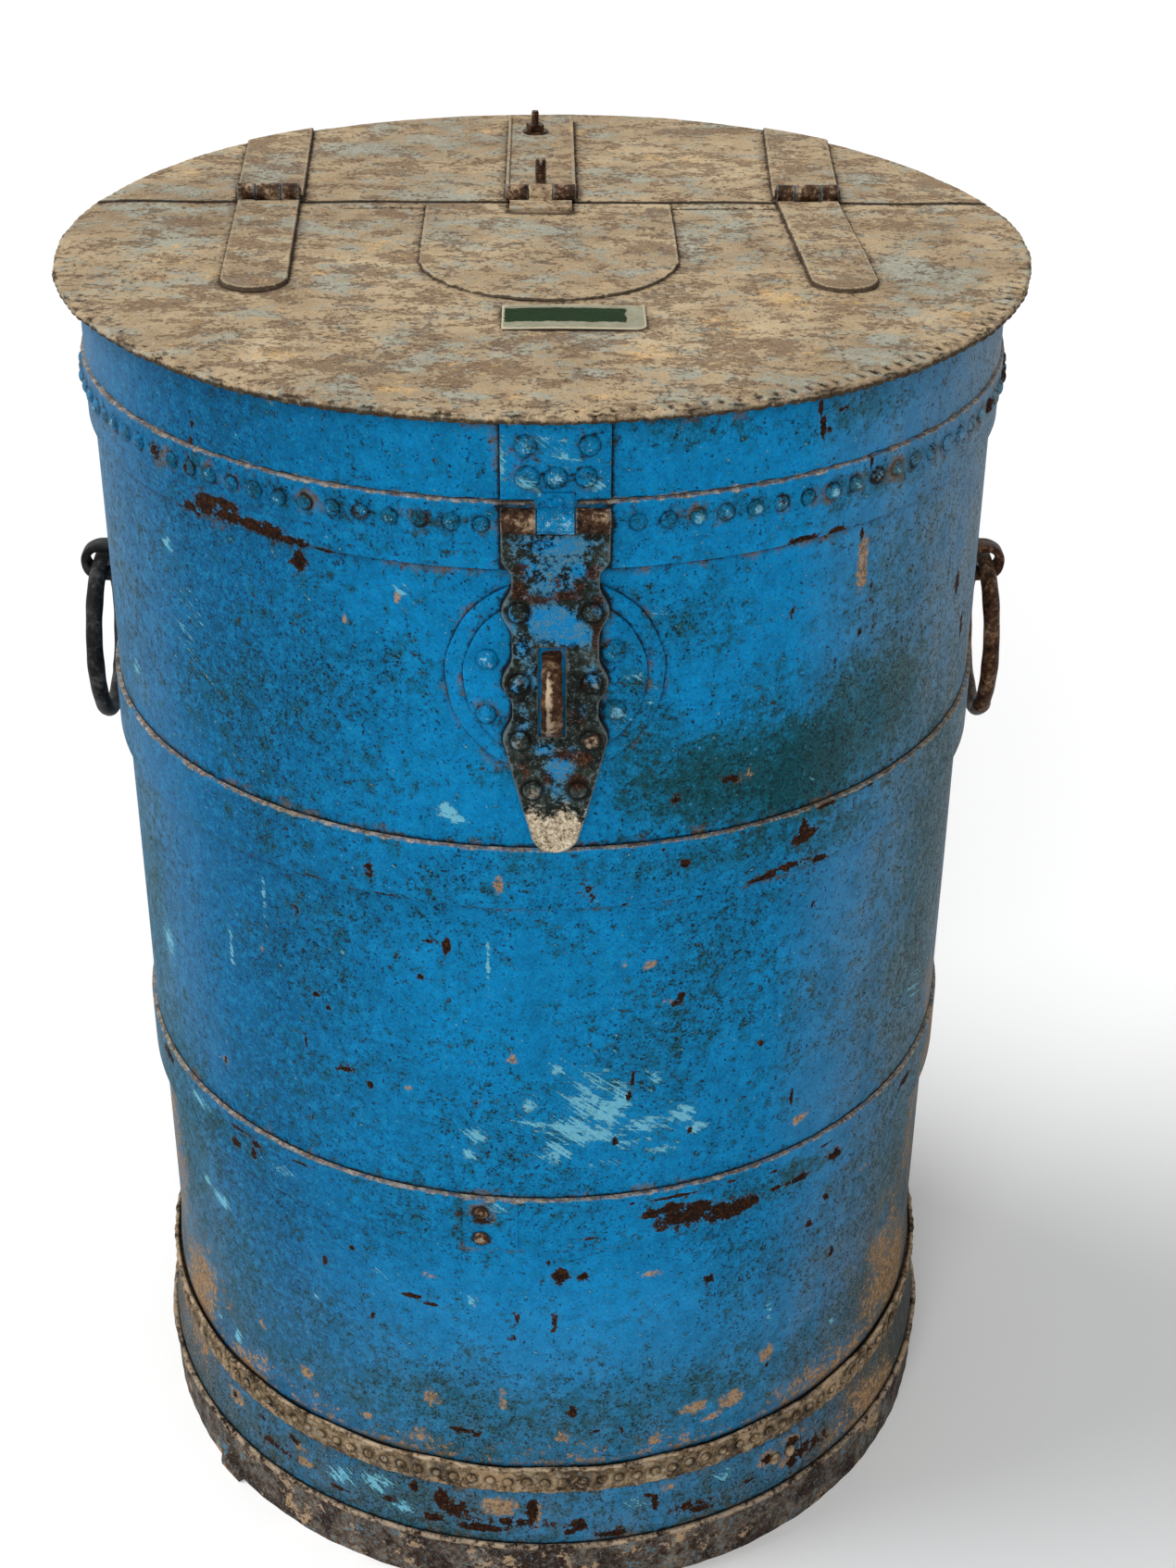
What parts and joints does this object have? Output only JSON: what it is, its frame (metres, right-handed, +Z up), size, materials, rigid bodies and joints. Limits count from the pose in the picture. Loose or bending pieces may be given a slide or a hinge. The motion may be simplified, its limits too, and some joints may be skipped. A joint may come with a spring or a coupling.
{
  "type": "riveted iron storage barrel",
  "caption": "Tall riveted sheet-iron storage barrel with a half-opening hinged lid, a front hasp over a staple and a ring handle on each side.",
  "frame": {"origin": "centre of the base ring, on the floor", "axes": "+Z up along the barrel's axis, -Y towards the hasp, +X to the right seen from the hasp side"},
  "size_m": [0.616, 0.6175, 0.896],
  "materials": {
    "blue_sheet": "worn cerulean blue paint with chips, scratches, rust and brown grime",
    "bare_lid_sheet": "bare sheet iron, mottled tan, grey and brown rust with traces of pale blue-grey paint",
    "rusty_iron": "dark brown rusted iron with worn bright edges",
    "black_iron": "blackened wrought iron",
    "label_paint": "pale grey-green label with a plain dark green bar"
  },
  "bodies": {
    "barrel": {"upper_wall": "blue_sheet", "middle_wall": "blue_sheet", "lower_wall": "blue_sheet", "floor_plate": "rusty_iron", "base_skirt": "blue_sheet", "base_strip": "rusty_iron", "base_strip_rivets": "rusty_iron", "base_lap_rivets": "rusty_iron", "foot_hoop": "rusty_iron", "foot_tab": "rusty_iron", "collar_hoop": "blue_sheet", "collar_rivets": "blue_sheet", "upper_hoop": "blue_sheet", "lower_hoop": "blue_sheet", "hoop_lap_rivets": "blue_sheet", "rear_skirt": "blue_sheet", "rear_top_plate": "bare_lid_sheet", "left_rear_strap": "bare_lid_sheet", "right_rear_strap": "bare_lid_sheet", "left_hinge_pin": "rusty_iron", "right_hinge_pin": "rusty_iron", "centre_rear_plate": "bare_lid_sheet", "centre_hinge_pin": "rusty_iron", "front_stud": "rusty_iron", "rear_stud": "rusty_iron", "rear_washer": "rusty_iron", "rear_nut": "rusty_iron", "outer_escutcheon": "blue_sheet", "inner_escutcheon": "blue_sheet", "escutcheon_rivets": "blue_sheet", "hasp_staple": "rusty_iron", "left_handle_eye": "black_iron", "right_handle_eye": "rusty_iron"},
    "lid": {"lid_plate": "bare_lid_sheet", "lid_skirt": "blue_sheet", "patch_plate": "bare_lid_sheet", "blank_label": "label_paint", "left_front_strap": "bare_lid_sheet", "right_front_strap": "bare_lid_sheet", "centre_tongue": "rusty_iron", "hasp_upper_leaf": "blue_sheet", "upper_leaf_rivets": "blue_sheet"},
    "hasp": {"hasp_plate": "blue_sheet", "hasp_rivets": "rusty_iron", "hasp_pin": "rusty_iron"},
    "left_ring": {"left_ring": "black_iron"},
    "right_ring": {"right_ring": "rusty_iron"}
  },
  "joints": [
    {"name": "lid_hinge", "type": "hinge", "parent": "barrel", "child": "lid", "pos_m": [0, 0.076, 0.882], "axis": [-1, 0, 0], "range_deg": [0, 135]},
    {"name": "hasp_hinge", "type": "hinge", "parent": "lid", "child": "hasp", "pos_m": [0.006, -0.29585, 0.816], "axis": [-1, 0, 0], "range_deg": [0, 150]},
    {"name": "left_ring_swing", "type": "hinge", "parent": "barrel", "child": "left_ring", "pos_m": [-0.295, 0, 0.6564], "axis": [0, 1, 0], "range_deg": [0, 170]},
    {"name": "right_ring_swing", "type": "hinge", "parent": "barrel", "child": "right_ring", "pos_m": [0.295, 0, 0.6564], "axis": [0, -1, 0], "range_deg": [0, 170]}
  ]
}
